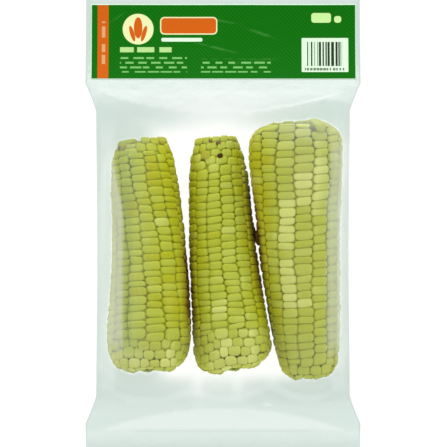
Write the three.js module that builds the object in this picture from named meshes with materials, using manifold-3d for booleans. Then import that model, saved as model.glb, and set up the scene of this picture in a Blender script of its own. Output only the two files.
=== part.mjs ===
// Three boiled ears of corn, vacuum-packed side by side in a clear film pouch with a printed header.
// The pouch lies on its back. Millimetres: X across the pouch, Y along the ears towards the header, Z up,
// origin on the table below the middle of the pouch.
import * as THREE from "three";
import { mergeVertices } from "three/addons/utils/BufferGeometryUtils.js";
import Module from "manifold-3d";

// ---- the pouch, as it lies ----
const POUCH_LENGTH = 267; // cut edge to cut edge
const POUCH_WIDTH = 160; // where the two plies are flat
const BODY_WIDTH = 147.2; // where the ears draw the sides in
const WAIST = 0.8; // each side draws in this much more, halfway along the ears
const HEADER_LENGTH = 51; // flat zone that carries the print
const FOOT_LENGTH = 18.4; // flat zone below the ears
const SHOULDER_LENGTH = 17; // from the flat width to the body width, at both ends
const SHOULDER_CURVE = 1.25; // 1 is a straight slant
const FLANGE = 0.8; // the two plies pressed together
const FILM_COLUMNS = 24;
const FOOT_ROWS = 3; // of film nodes, over each zone of the pouch's length
const SHOULDER_ROWS = 3;
const BODY_ROWS = 26;
const HEADER_ROWS = 5;

// ---- how the film hangs ----
const BODY_MID_HEIGHT = 20; // where the plies meet beside the ears
const HEADER_ROOT_HEIGHT = 12;
const HEADER_EDGE_HEIGHT = 1.6;
const FOOT_ROOT_HEIGHT = 9;
const FOOT_EDGE_HEIGHT = 1.4;
const MID_RISE = 32; // the plies' meeting line climbs to the body over this length
const HEADER_WAVE = 0.6; // slack in the header's free edge
const HEADER_WAVELENGTH = 74;
const HEADER_LENS = 13; // how far the plies stay together past each flat zone, at the middle
const FOOT_LENS = 10.4;
const LENS_HALF_WIDTH = 66;
const SUCTION = 1; // how hard the vacuum pulls each film node inwards, per pass
const DRAPE_PASSES = 400;
const FILM_SINK = 1.7; // the front film runs this far below the kernels' crowns, so that they stand out of it
const BACK_COVER = 0.35; // the back film covers the kernels
const END_COVER = 2.5; // both plies pass this far beyond an ear's ends
const TABLE_PRESS = 0.9; // the ears' undersides flatten this much on the table

// ---- the ears, left to right as the header is at the top ----
// tip and butt are the ends of the axis. radii are [share of the length from the tip, radius over the kernels].
// rowTurn is how far the rows are turned about the axis, in degrees at the tip and at the butt, and how soon
// they turn: 1 is evenly.
const KERNEL_ROWS = 14;
const KERNEL_PITCH = 4.75; // along a row
const KERNEL_RELIEF = 1.25; // depth of the groove between two kernels of a row
const ROW_RELIEF = 1.6; // depth of the furrow between two rows
const ROW_FURROW = 0.24; // share of a row's width on each side of its crown
const KERNEL_SCATTER = 0.45; // how unevenly the kernels stand
const END_FADE = 7; // the relief grows from nothing over this distance from either end
const FILM_LEAVES = 64; // degrees from the top of an ear beyond which it stays inside the film
const INSIDE_SINK = 3; // how far
const REST_SHARES = [0.16, 0.84]; // where along its length an ear touches the table
const EARS = [
  {
    tip: [-47.2, 51.3],
    butt: [-42.6, -86.9],
    tipRound: 2.5,
    buttRound: 17,
    rowTurn: { tip: 5, butt: -23, ease: 2.2 },
    radii: [[0, 13.8], [0.1, 18.2], [0.25, 20.2], [0.45, 21.3], [0.8, 24.5], [0.9, 23.6], [1, 22.6]],
  },
  {
    tip: [-4.4, 51.9],
    butt: [5.9, -86.3],
    tipRound: 2.5,
    buttRound: 18,
    rowTurn: { tip: -10, butt: 3, ease: 3 },
    radii: [[0, 11.4], [0.07, 14.2], [0.19, 16.9], [0.45, 18.8], [0.75, 21], [0.92, 22.3], [1, 21.8]],
  },
  {
    tip: [50.2, -90],
    butt: [41.8, 62.3],
    tipRound: 14,
    buttRound: 16,
    rowTurn: { tip: -18, butt: -1, ease: 1.3 },
    radii: [[0, 16.2], [0.08, 17], [0.19, 19.3], [0.42, 22], [0.62, 23.7], [0.87, 26.8], [1, 26.4]],
  },
];

// ---- the printed panel on the header ----
const PRINT_WIDTH = 152.6;
const PRINT_LENGTH = 42.6;
const PRINT_CENTRE_X = 0.3;
const PRINT_EDGE_MARGIN = 5.6; // clear film beyond the print, at the cut edge
const PRINT_THICKNESS = 0.3;
const PRINT_GAP = 0.3;

const FILM_FINISH = { color: 0xccd3a0, roughness: 0.28, metalness: 0 };
const PRINT_FINISH = { color: 0x0e6d0c, roughness: 0.35, metalness: 0 };

const header = POUCH_LENGTH / 2 - HEADER_LENGTH; // Y where the header's flat zone begins
const foot = FOOT_LENGTH - POUCH_LENGTH / 2; // Y where the foot's flat zone ends

const clamp = THREE.MathUtils.clamp;
const lerp = THREE.MathUtils.lerp;

// A seeded draw between -1 and 1.
function makeDraw(seed) {
  let state = seed;
  return () => {
    state = (state * 1664525 + 1013904223) % 4294967296;
    return (2 * state) / 4294967296 - 1;
  };
}

// ---- ears ----

// How far the rows are turned about the axis at a distance from the tip, in radians.
function rowTurn(ear, along) {
  const turned = 1 - (1 - along / ear.length) ** ear.rowTurn.ease;
  return THREE.MathUtils.degToRad(lerp(ear.rowTurn.tip, ear.rowTurn.butt, turned));
}

// Radius over the kernels at a distance from the tip: a smooth taper, rounded at both ends.
function makeRadius(ear) {
  const stations = ear.radii.map(([share, radius]) => new THREE.Vector2(share, radius));
  const taper = new THREE.SplineCurve(stations).getPoints(120);
  const rounded = (toEnd, reach) => Math.sqrt(1 - Math.pow(clamp(1 - toEnd / reach, 0, 1), 3));
  return (along) => {
    const share = clamp(along / ear.length, 0, 1);
    const k = clamp(taper.findIndex((p) => p.x >= share), 1, taper.length - 1);
    const [a, b] = [taper[k - 1], taper[k]];
    const radius = lerp(a.y, b.y, (share - a.x) / Math.max(b.x - a.x, 1e-9));
    return radius * rounded(along, ear.tipRound) * rounded(ear.length - along, ear.buttRound);
  };
}

// Completes an ear: its direction, its radius function and the height of its axis above the table.
function settleEar(ear) {
  const tip = new THREE.Vector2(...ear.tip);
  const run = new THREE.Vector2(...ear.butt).sub(tip);
  const settled = { ...ear, tip, length: run.length(), direction: run.clone().normalize() };
  settled.radius = makeRadius(settled);
  const rest = REST_SHARES.map((share) => settled.radius(share * settled.length) - TABLE_PRESS);
  settled.slope = (rest[1] - rest[0]) / ((REST_SHARES[1] - REST_SHARES[0]) * settled.length);
  settled.height = (along) => rest[0] + settled.slope * (along - REST_SHARES[0] * settled.length);
  return settled;
}

// The height span of an ear's smooth envelope, grown by a margin and stretched to cover its ends, over a
// point; null beside it.
function envelopeOver(ear, x, y, margin) {
  const offset = new THREE.Vector2(x, y).sub(ear.tip);
  const along = (offset.dot(ear.direction) + END_COVER) * (ear.length / (ear.length + 2 * END_COVER));
  const aside = Math.abs(offset.cross(ear.direction));
  if (along <= 0 || along >= ear.length) return null;
  const radius = ear.radius(along) + margin;
  if (aside >= radius) return null;
  const half = Math.sqrt(radius * radius - aside * aside);
  return [ear.height(along) - half, ear.height(along) + half];
}

// One ear as a lathe turned about Y from tip to butt, its skin pushed in between rows and kernels.
function earGeometry(ear, seed) {
  const draw = makeDraw(seed);
  const kernels = Math.round(ear.length / KERNEL_PITCH);
  const rings = 2 * kernels;
  const step = ear.length / rings;
  const profile = [];
  for (let j = 0; j <= rings; j++) {
    const onAxis = j === 0 || j === rings;
    profile.push(new THREE.Vector2(onAxis ? 0 : ear.radius(j * step), j * step));
  }
  const columns = 3 * KERNEL_ROWS;
  const lathe = new THREE.LatheGeometry(profile, columns);
  const scatter = Array.from({ length: KERNEL_ROWS * (rings + 1) }, () => KERNEL_SCATTER * draw());
  const position = lathe.getAttribute("position");
  for (let v = 0; v < position.count; v++) {
    const j = v % profile.length;
    if (j === 0 || j === rings) continue;
    const column = Math.floor(v / profile.length) % columns;
    const row = Math.floor(column / 3);
    const place = column % 3; // 0 is the furrow, 1 and 2 are the crown's shoulders
    const crown = (j + row) % 2 === 1; // each row is half a kernel ahead of the next
    const along = j * step;
    const depth = clamp(Math.min(along, ear.length - along) / END_FADE, 0, 1);
    const sunk = place === 0 ? ROW_RELIEF : crown ? 0 : KERNEL_RELIEF;
    const uneven = place === 0 ? 0 : scatter[row * (rings + 1) + j];
    const share = row + [0, ROW_FURROW, 1 - ROW_FURROW][place];
    const angle = (share / KERNEL_ROWS) * 2 * Math.PI + rowTurn(ear, along);
    const outside = Math.cos(angle) > Math.cos(THREE.MathUtils.degToRad(FILM_LEAVES));
    const relief = outside ? sunk + Math.abs(uneven) : INSIDE_SINK;
    const radius = Math.max(ear.radius(along) - depth * relief, 1);
    position.setXYZ(v, radius * Math.sin(angle), along + 0.4 * uneven, radius * Math.cos(angle));
  }
  return lathe;
}

// The placement of an ear's lathe: tip at its end of the axis, turned in plan and pitched to lie on the
// table.
function earMatrix(ear) {
  const along = new THREE.Vector3(ear.direction.x, ear.direction.y, ear.slope).normalize();
  const across = new THREE.Vector3().crossVectors(along, new THREE.Vector3(0, 0, 1)).normalize();
  const up = new THREE.Vector3().crossVectors(across, along);
  return new THREE.Matrix4()
    .makeBasis(across, along, up)
    .setPosition(ear.tip.x, ear.tip.y, ear.height(0));
}

// ---- film ----

// How far into a flat zone a point is: 0 at its root, 1 at the cut edge.
const intoHeader = (y) => clamp((y - header) / HEADER_LENGTH, 0, 1);
const intoFoot = (y) => clamp((foot - y) / FOOT_LENGTH, 0, 1);

// Half the pouch's width: full along both flat zones, drawn in along the body.
function halfWidth(y) {
  const fromFlat = clamp(Math.min(header - y, y - foot) / SHOULDER_LENGTH, 0, 1);
  const drawn = 1 - (1 - fromFlat) ** SHOULDER_CURVE;
  const waist = WAIST * Math.sin(Math.PI * clamp((y - foot) / (header - foot), 0, 1)) ** 2;
  return lerp(POUCH_WIDTH, BODY_WIDTH, drawn) / 2 - waist;
}

// Height of the surface in which the two plies meet.
function meetingHeight(x, y) {
  if (y > header) {
    const t = intoHeader(y);
    const wave = HEADER_WAVE * t * Math.sin((2 * Math.PI * x) / HEADER_WAVELENGTH + 0.6);
    return lerp(HEADER_EDGE_HEIGHT, HEADER_ROOT_HEIGHT, (1 - t) ** 2) + wave;
  }
  if (y < foot) return lerp(FOOT_EDGE_HEIGHT, FOOT_ROOT_HEIGHT, (1 - intoFoot(y)) ** 1.5);
  const climb = (from) => Math.sin((Math.PI / 2) * clamp(from / MID_RISE, 0, 1));
  const fromHeader = lerp(HEADER_ROOT_HEIGHT, BODY_MID_HEIGHT, climb(header - y));
  const fromFoot = lerp(FOOT_ROOT_HEIGHT, BODY_MID_HEIGHT, climb(y - foot));
  return Math.min(fromHeader, fromFoot);
}

// True where the plies are pressed together: the flat zones, and the shallow lens beyond each.
function pressed(x, y) {
  const lens = clamp(1 - (x / LENS_HALF_WIDTH) ** 2, 0, 1);
  return y > header - HEADER_LENS * lens || y < foot + FOOT_LENS * lens;
}

// The rows of film nodes along the pouch, evenly spaced within each zone.
function filmRows() {
  const zones = [
    [-POUCH_LENGTH / 2, foot, FOOT_ROWS],
    [foot, foot + SHOULDER_LENGTH, SHOULDER_ROWS],
    [foot + SHOULDER_LENGTH, header - SHOULDER_LENGTH, BODY_ROWS],
    [header - SHOULDER_LENGTH, header, SHOULDER_ROWS],
    [header, POUCH_LENGTH / 2, HEADER_ROWS],
  ];
  const spread = ([from, to, count]) => Array.from({ length: count }, (_, k) => lerp(from, to, k / count));
  return [...zones.flatMap(spread), POUCH_LENGTH / 2];
}

// Drapes both plies over the ears: each film node moves to its neighbours' mean and a little inwards,
// never into an ear, through the other ply or below the table.
function drapeFilm(ears, rows) {
  const nodes = [];
  for (const y of rows)
    for (let i = 0; i <= FILM_COLUMNS; i++) {
      const x = (2 * i / FILM_COLUMNS - 1) * halfWidth(y);
      const meeting = meetingHeight(x, y);
      const fixed = i === 0 || i === FILM_COLUMNS || pressed(x, y);
      const over = ears.map((ear) => envelopeOver(ear, x, y, -FILM_SINK)).filter(Boolean);
      const under = ears.map((ear) => envelopeOver(ear, x, y, BACK_COVER)).filter(Boolean);
      const floor = Math.max(meeting + FLANGE / 2, ...over.map((span) => span[1]));
      const ceiling = Math.max(Math.min(meeting - FLANGE / 2, ...under.map((span) => span[0])), 0);
      nodes.push({ x, y, fixed, floor, ceiling, front: floor, back: ceiling });
    }
  const stride = FILM_COLUMNS + 1;
  for (let pass = 0; pass < DRAPE_PASSES; pass++)
    nodes.forEach((node, k) => {
      if (node.fixed) return;
      const around = [nodes[k - 1], nodes[k + 1], nodes[k - stride], nodes[k + stride]];
      const mean = (ply) => around.reduce((sum, n) => sum + n[ply], 0) / 4;
      node.front = Math.max(mean("front") - SUCTION, node.floor);
      node.back = Math.max(Math.min(mean("back") + SUCTION, node.ceiling), 0);
    });
  return nodes;
}

// The draped film as one closed body: a gridded box whose two faces take the heights of the two plies.
function filmGeometry(ears) {
  const rows = filmRows();
  const nodes = drapeFilm(ears, rows);
  const box = new THREE.BoxGeometry(1, 1, 1, FILM_COLUMNS, rows.length - 1, 1);
  const position = box.getAttribute("position");
  for (let v = 0; v < position.count; v++) {
    const i = Math.round((position.getX(v) + 0.5) * FILM_COLUMNS);
    const j = Math.round((position.getY(v) + 0.5) * (rows.length - 1));
    const node = nodes[j * (FILM_COLUMNS + 1) + i];
    position.setXYZ(v, node.x, node.y, position.getZ(v) > 0 ? node.front : node.back);
  }
  return box;
}

// The printed panel: a thin sheet that follows the header's sag and wave just above it.
function printGeometry() {
  const sheet = new THREE.BoxGeometry(PRINT_WIDTH, PRINT_LENGTH, PRINT_THICKNESS, 24, 8, 1);
  sheet.translate(PRINT_CENTRE_X, POUCH_LENGTH / 2 - PRINT_EDGE_MARGIN - PRINT_LENGTH / 2, 0);
  const lift = FLANGE / 2 + PRINT_GAP + PRINT_THICKNESS / 2;
  const position = sheet.getAttribute("position");
  for (let v = 0; v < position.count; v++) {
    const [x, y, z] = [position.getX(v), position.getY(v), position.getZ(v)];
    position.setZ(v, meetingHeight(x, y) + lift + z);
  }
  return sheet;
}

// ---- joining ----

const wasm = await Module();
wasm.setup();

// A closed three.js geometry as a solid that can be joined.
function toSolid(geometry, matrix = new THREE.Matrix4()) {
  const bare = geometry.clone().applyMatrix4(matrix);
  bare.deleteAttribute("normal");
  bare.deleteAttribute("uv");
  const merged = mergeVertices(bare, 1e-4);
  return new wasm.Manifold(
    new wasm.Mesh({
      numProp: 3,
      vertProperties: new Float32Array(merged.getAttribute("position").array),
      triVerts: new Uint32Array(merged.index.array),
    }),
  );
}

// A joined solid back as a three.js geometry.
function toGeometry(solid) {
  const mesh = solid.getMesh();
  const geometry = new THREE.BufferGeometry();
  geometry.setAttribute("position", new THREE.BufferAttribute(mesh.vertProperties, mesh.numProp));
  geometry.setIndex(new THREE.BufferAttribute(mesh.triVerts, 1));
  geometry.computeVertexNormals();
  return geometry;
}

// The sealed pouch: the draped film with the kernels of the three ears standing out of its front.
function pouchGeometry() {
  const ears = EARS.map(settleEar);
  const pouch = ears.reduce(
    (joined, ear, k) => joined.add(toSolid(earGeometry(ear, 11 + k), earMatrix(ear))),
    toSolid(filmGeometry(ears)),
  );
  return toGeometry(pouch);
}

function namedMesh(name, geometry, finish) {
  const mesh = new THREE.Mesh(geometry, new THREE.MeshStandardMaterial(finish));
  mesh.name = name;
  return mesh;
}

const cornPack = new THREE.Group();
cornPack.add(namedMesh("sealed_pouch", pouchGeometry(), FILM_FINISH));
cornPack.add(namedMesh("header_print", printGeometry(), PRINT_FINISH));

export default cornPack;
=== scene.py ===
"""Boiled corn on the cob in a clear vacuum pouch, lying on a pale table.

Three ears lie side by side in a film pouch, with a flat printed header above them and a flat sealed
foot below. Lengths are millimetres until a mesh is made. X runs across the pouch, Y along the ears
towards the header, and Z up from the table.
"""

import logging
from dataclasses import dataclass, field
from enum import Enum
from typing import Any

import bmesh
import bpy
import numpy as np
from mathutils import Matrix, Vector
from mathutils.bvhtree import BVHTree


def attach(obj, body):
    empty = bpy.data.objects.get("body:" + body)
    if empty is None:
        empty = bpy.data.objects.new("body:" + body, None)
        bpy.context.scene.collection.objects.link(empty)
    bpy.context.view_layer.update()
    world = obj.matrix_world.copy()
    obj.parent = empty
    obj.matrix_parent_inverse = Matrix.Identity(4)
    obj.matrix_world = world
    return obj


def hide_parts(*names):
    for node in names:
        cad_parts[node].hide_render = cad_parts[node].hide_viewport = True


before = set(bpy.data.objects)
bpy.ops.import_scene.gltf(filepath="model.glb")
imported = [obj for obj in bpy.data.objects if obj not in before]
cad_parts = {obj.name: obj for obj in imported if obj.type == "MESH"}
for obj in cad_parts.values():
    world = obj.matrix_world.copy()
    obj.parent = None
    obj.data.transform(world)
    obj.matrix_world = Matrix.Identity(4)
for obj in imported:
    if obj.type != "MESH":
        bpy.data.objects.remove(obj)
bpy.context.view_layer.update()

Colour = tuple[float, float, float]
Faces = list[tuple[int, ...]]

MM = 0.001
BODY = "root"

log = logging.getLogger("corn_pack")


class Slot(Enum):
    """The record's material slots."""

    CORN_AND_FILM = "film_over_corn"
    INK = "header_ink"


# ---------------------------------------------------------------- helpers


def blend(low: Any, high: Any, share: Any) -> Any:
    """Returns the value a share of the way from low to high."""
    return low + (high - low) * share


def ease(low: float, high: float, value: Any) -> Any:
    """Rises smoothly from 0 to 1 as a value goes from low to high.

    Args:
        low: Where the rise starts.
        high: Where it ends.
        value: A number or an array.

    Returns:
        The eased share, of the same shape as value.
    """
    t = np.clip((value - low) / (high - low), 0.0, 1.0)
    return t * t * (3.0 - 2.0 * t)


def clear_selection() -> None:
    """Leaves edit mode and deselects everything."""
    if bpy.context.object is not None and bpy.context.object.mode != "OBJECT":
        bpy.ops.object.mode_set(mode="OBJECT")
    bpy.ops.object.select_all(action="DESELECT")


def pick_only(parts: list[Any]) -> None:
    """Selects only the given edges or faces of the mesh in edit mode."""
    bpy.ops.mesh.select_all(action="DESELECT")
    for part in parts:
        part.select_set(True)
    bmesh.update_edit_mesh(bpy.context.object.data)


def take_mesh(piece: bpy.types.Object) -> tuple[np.ndarray, Faces]:
    """Takes the points and faces of a modelled piece, and removes the piece.

    Edit operators leave both in an order that changes from run to run, so both are put in order of
    place. Each face keeps its own first point, which says where it is split in triangles.

    Args:
        piece: The modelled piece, in edit mode.

    Returns:
        Its points and its faces.
    """
    bpy.ops.object.mode_set(mode="OBJECT")
    points = np.array([v.co[:] for v in piece.data.vertices])
    order = np.lexsort(np.round(points, 4).T)
    rank = np.argsort(order).tolist()
    faces = sorted(tuple(rank[i] for i in polygon.vertices) for polygon in piece.data.polygons)
    bpy.data.objects.remove(piece)
    return points[order], faces


def make_mesh(name: str, points: np.ndarray, faces: Faces) -> bpy.types.Object:
    """Makes a smooth-shaded object from points in millimetres.

    Args:
        name: The piece's name.
        points: One row of X, Y, Z for each vertex.
        faces: Vertex numbers of each face, anticlockwise from outside.

    Returns:
        The object, at the origin.
    """
    mesh = bpy.data.meshes.new(name)
    mesh.from_pydata((points * MM).tolist(), [], faces)
    mesh.polygons.foreach_set("use_smooth", [True] * len(mesh.polygons))
    mesh.update()
    piece = bpy.data.objects.new(name, mesh)
    bpy.context.scene.collection.objects.link(piece)
    return piece


def paint_points(piece: bpy.types.Object, name: str, channels: np.ndarray) -> None:
    """Stores up to three numbers at each vertex of a piece.

    Args:
        piece: The object.
        name: The attribute's name, which its material reads.
        channels: One row for each vertex, with three columns.
    """
    rows = np.ones((len(channels), 4))
    rows[:, :3] = channels
    attribute = piece.data.attributes.new(name, "FLOAT_COLOR", "POINT")
    attribute.data.foreach_set("color", rows.ravel())


def hand_over(piece: bpy.types.Object, slot: Slot, material: bpy.types.Material, *nodes: str) -> None:
    """Dresses a finished piece and lets it ride in place of CAD nodes.

    Args:
        piece: The object.
        slot: The record's slot that its finish belongs to; not used.
        material: Its material.
        nodes: The CAD nodes that it replaces.
    """
    piece.data.materials.clear()
    piece.data.materials.append(material)
    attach(piece, BODY)
    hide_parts(*nodes)
    log.info("%s: %d vertices, %d faces", piece.name, len(piece.data.vertices), len(piece.data.polygons))


# ---------------------------------------------------------------- shader expressions


class Wire:
    """An output socket on which Python's operators add Math nodes."""

    def __init__(self, shader: "Shader", socket: bpy.types.NodeSocket) -> None:
        """Wraps one output of a shader's node."""
        self.shader = shader
        self.socket = socket

    def _math(self, operation: str, *others: Any) -> "Wire":
        """Adds a Math node on this value and others, in order."""
        return self.shader.math(operation, self, *others)

    def __add__(self, other: Any) -> "Wire":
        """Adds a value."""
        return self._math("ADD", other)

    __radd__ = __add__

    def __mul__(self, other: Any) -> "Wire":
        """Multiplies by a value."""
        return self._math("MULTIPLY", other)

    __rmul__ = __mul__

    def __sub__(self, other: Any) -> "Wire":
        """Takes a value away."""
        return self._math("SUBTRACT", other)

    def __rsub__(self, other: Any) -> "Wire":
        """Takes this away from a value."""
        return self.shader.math("SUBTRACT", other, self)

    def __truediv__(self, other: Any) -> "Wire":
        """Divides by a value."""
        return self._math("DIVIDE", other)

    def __pow__(self, power: Any) -> "Wire":
        """Raises to a power."""
        return self._math("POWER", power)

    def most(self, other: Any) -> "Wire":
        """The larger of two values."""
        return self._math("MAXIMUM", other)

    def size(self) -> "Wire":
        """The value without its sign."""
        return self._math("ABSOLUTE")

    def whole(self) -> "Wire":
        """The value rounded down."""
        return self._math("FLOOR")

    def rise(self, low: float, high: float) -> "Wire":
        """Goes smoothly from 0 to 1 as the value goes from low to high."""
        node = self.shader.node(
            "ShaderNodeMapRange",
            {"interpolation_type": "SMOOTHSTEP"},
            {"Value": self, "From Min": low, "From Max": high},
        )
        return Wire(self.shader, node.outputs["Result"])


class Shader:
    """One material and the nodes in it."""

    def __init__(self, name: str) -> None:
        """Starts an empty node material."""
        self.material = bpy.data.materials.new(name)
        self.material.use_nodes = True
        self.tree = self.material.node_tree
        self.tree.nodes.clear()

    def node(self, kind: str, settings: dict[str, Any], sockets: dict[Any, Any]) -> bpy.types.Node:
        """Adds a node.

        Args:
            kind: The node's type.
            settings: Its own settings, which are set first.
            sockets: A value or a Wire for each input, by name or number.

        Returns:
            The node.
        """
        node = self.tree.nodes.new(kind)
        for key, value in settings.items():
            setattr(node, key, value)
        for key, value in sockets.items():
            if isinstance(value, Wire):
                self.tree.links.new(value.socket, node.inputs[key])
            elif isinstance(value, tuple) and len(node.inputs[key].default_value) == 4:
                node.inputs[key].default_value = (*value, 1.0)
            else:
                node.inputs[key].default_value = value
        return node

    def math(self, operation: str, *values: Any) -> Wire:
        """Adds a Math node on one to three values."""
        node = self.node("ShaderNodeMath", {"operation": operation}, dict(enumerate(values)))
        return Wire(self, node.outputs[0])

    def mix(self, first: Any, second: Any, share: Any) -> Wire:
        """Mixes two colours, the second by a share."""
        node = self.node("ShaderNodeMix", {"data_type": "RGBA"}, {0: share, 6: first, 7: second})
        return Wire(self, node.outputs[2])

    def skin(self, sockets: dict[str, Any]) -> bpy.types.Node:
        """Adds a Principled shader with the given values."""
        return self.node("ShaderNodeBsdfPrincipled", {}, sockets)

    def layer(self, under: bpy.types.Node, over: bpy.types.Node, share: Wire) -> bpy.types.Node:
        """Mixes two surface shaders, the second by a share."""
        ends = {0: share, 1: Wire(self, under.outputs[0]), 2: Wire(self, over.outputs[0])}
        return self.node("ShaderNodeMixShader", {}, ends)

    def place(self) -> tuple[Wire, Wire, Wire]:
        """The object coordinates in millimetres, as X, Y and Z."""
        source = self.node("ShaderNodeTexCoord", {}, {})
        split = self.node("ShaderNodeSeparateXYZ", {}, {0: Wire(self, source.outputs["Object"])})
        x, y, z = (Wire(self, out) * 1000.0 for out in split.outputs)
        return x, y, z

    def vector(self, x: Any, y: Any, z: Any) -> Wire:
        """Joins three values into a vector."""
        return Wire(self, self.node("ShaderNodeCombineXYZ", {}, {0: x, 1: y, 2: z}).outputs[0])

    def noise(self, at: Wire, scale: float, detail: float = 2.0) -> Wire:
        """Smooth noise between 0 and 1 at a vector."""
        node = self.node("ShaderNodeTexNoise", {}, {"Vector": at, "Scale": scale, "Detail": detail})
        return Wire(self, node.outputs[0])

    def draw(self, value: Wire) -> Wire:
        """A random number between 0 and 1 for each whole value."""
        node = self.node("ShaderNodeTexWhiteNoise", {"noise_dimensions": "1D"}, {"W": value})
        return Wire(self, node.outputs["Value"])

    def attribute(self, name: str) -> tuple[Wire, Wire, Wire]:
        """The three numbers stored at a piece's vertices under a name."""
        source = self.node("ShaderNodeAttribute", {"attribute_name": name}, {})
        split = self.node("ShaderNodeSeparateColor", {}, {0: Wire(self, source.outputs["Color"])})
        first, second, third = (Wire(self, out) for out in split.outputs)
        return first, second, third

    def bump(self, height: Wire, depth: float, strength: float = 1.0) -> Wire:
        """A normal from a height between 0 and 1 that stands for a depth in millimetres."""
        sockets = {"Height": height, "Strength": strength, "Distance": depth * MM}
        return Wire(self, self.node("ShaderNodeBump", {}, sockets).outputs[0])

    def finish(self, surface: bpy.types.Node) -> bpy.types.Material:
        """Ends the tree in a surface shader and returns the material."""
        self.node("ShaderNodeOutputMaterial", {}, {"Surface": Wire(self, surface.outputs[0])})
        return self.material


# ---------------------------------------------------------------- finishes


@dataclass(frozen=True)
class KernelFinish:
    """Boiled kernels: plump, pale yellow-green skins, painted olive and darker down into the furrows as
    painted shade.
    """

    flesh: Colour = (0.465, 0.52, 0.055)
    pale: Colour = (0.68, 0.72, 0.22)
    deep: Colour = (0.44, 0.455, 0.01)
    # Painted shade: the darker olive that kernels turn to down their sides into the furrows.
    furrow_shade: Colour = (0.36, 0.405, 0.003)
    # Husk brown of browned kernels, and also the first step of painted shade on flanks that face a neighbour
    # ear.
    husk_and_shade: Colour = (0.27, 0.17, 0.01)
    shadow: Colour = (0.07, 0.032, 0.003)
    roughness: float = 0.5
    specular: float = 0.08
    mottle_scale: float = 0.8
    patch_scale: float = 0.045
    pore_scale: float = 0.9
    pore_depth: float = 0.12
    scatter: float = 0.4
    scatter_radius: tuple[float, float, float] = (0.004, 0.0035, 0.0006)
    scatter_scale: float = 0.35

    def build(self) -> bpy.types.Material:
        """Makes the material."""
        shader = Shader("boiled_kernels")
        tone, crown, brown = shader.attribute("kernel")
        x, y, z = shader.place()
        at = shader.vector(x, y, z)
        colour = shader.mix(self.deep, self.flesh, tone.rise(0.05, 0.5))
        colour = shader.mix(colour, self.pale, tone.rise(0.55, 1.0))
        mottle = shader.noise(at, self.mottle_scale, 3.0)
        patches = shader.noise(at, self.patch_scale)
        paler = mottle.rise(0.5, 0.8) * 0.2 + patches.rise(0.55, 0.75) * 0.35
        colour = shader.mix(colour, self.pale, paler)
        # Painted shade: each kernel darkens towards the furrow colour from its crown down to its root.
        colour = shader.mix(self.furrow_shade, colour, crown.rise(0.5, 1.06))
        # Third channel: real browning of loose kernels, plus painted shade on flanks that face a neighbour
        # and on kernels painted dark as holes; high values take the painted shadow colour.
        colour = shader.mix(colour, self.husk_and_shade, brown.rise(0.0, 0.9))
        colour = shader.mix(colour, self.shadow, brown.rise(0.5, 1.0))
        skin = shader.skin(
            {
                "Base Color": colour,
                "Roughness": self.roughness + 0.12 * mottle,
                "Specular IOR Level": self.specular,
                "Subsurface Weight": self.scatter,
                "Subsurface Radius": self.scatter_radius,
                "Subsurface Scale": self.scatter_scale,
                "Normal": shader.bump(shader.noise(at, self.pore_scale), self.pore_depth),
            }
        )
        return shader.finish(skin)


@dataclass(frozen=True)
class CobFinish:
    """The woody cob that the kernels stand on, and its cut ends."""

    chaff: Colour = (0.36, 0.37, 0.003)
    rind: Colour = (0.44, 0.42, 0.16)
    pith: Colour = (0.62, 0.60, 0.36)
    roughness: float = 0.7
    grain_scale: float = 0.6
    grain_depth: float = 0.5

    def build(self) -> bpy.types.Material:
        """Makes the material."""
        shader = Shader("cob")
        cut, pith, brown = shader.attribute("cob")
        x, y, z = shader.place()
        grain = shader.noise(shader.vector(x, y, z), self.grain_scale, 4.0)
        colour = shader.mix(self.chaff, self.rind, cut)
        colour = shader.mix(colour, self.pith, pith)
        flecks = brown * grain.rise(0.35, 0.7) + grain.rise(0.6, 0.9) * 0.5
        colour = shader.mix(colour, self.chaff, flecks)
        relief = shader.bump(grain, self.grain_depth)
        wood = shader.skin({"Base Color": colour, "Roughness": self.roughness, "Normal": relief})
        return shader.finish(wood)


@dataclass(frozen=True)
class FilmFinish:
    """Clear pouch film with a mint cast: glossy, cloudy where it stands off the corn, and carrying painted
    sheen and painted highlights in its haze.
    """

    tint: Colour = (0.762, 0.824, 0.80)
    haze_and_sheen: Colour = (0.84, 0.90, 0.85)
    roughness: float = 0.24
    haze_roughness: float = 0.55
    facing_gloss: float = 0.04
    ripple_scale: float = 0.12
    ripple_depth: float = 0.35

    def build(self) -> bpy.types.Material:
        """Makes the material."""
        shader = Shader("pouch_film")
        haze_and_sheen, tint, glossy = shader.attribute("film")
        x, y, z = shader.place()
        at = shader.vector(x, y, z)
        clear = shader.mix((1.0, 1.0, 1.0), self.tint, tint)
        see = shader.node("ShaderNodeBsdfTransparent", {}, {"Color": clear})
        ripple = shader.bump(shader.noise(at, self.ripple_scale, 3.0), self.ripple_depth)
        haze = shader.skin(
            {
                "Base Color": self.haze_and_sheen,
                "Roughness": self.haze_roughness,
                "Specular IOR Level": 0.0,
                "Normal": ripple,
            }
        )
        shine = {"Color": (1.0, 1.0, 1.0), "Roughness": self.roughness, "Normal": ripple}
        gloss = shader.node("ShaderNodeBsdfGlossy", {}, shine)
        view = shader.node("ShaderNodeLayerWeight", {}, {"Blend": 0.5, "Normal": ripple})
        edge_on = Wire(shader, view.outputs["Facing"])
        mirror = glossy * (self.facing_gloss + (1.0 - self.facing_gloss) * edge_on**5.0)
        surface = shader.layer(shader.layer(see, haze, haze_and_sheen), gloss, mirror)
        return shader.finish(surface)


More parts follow.
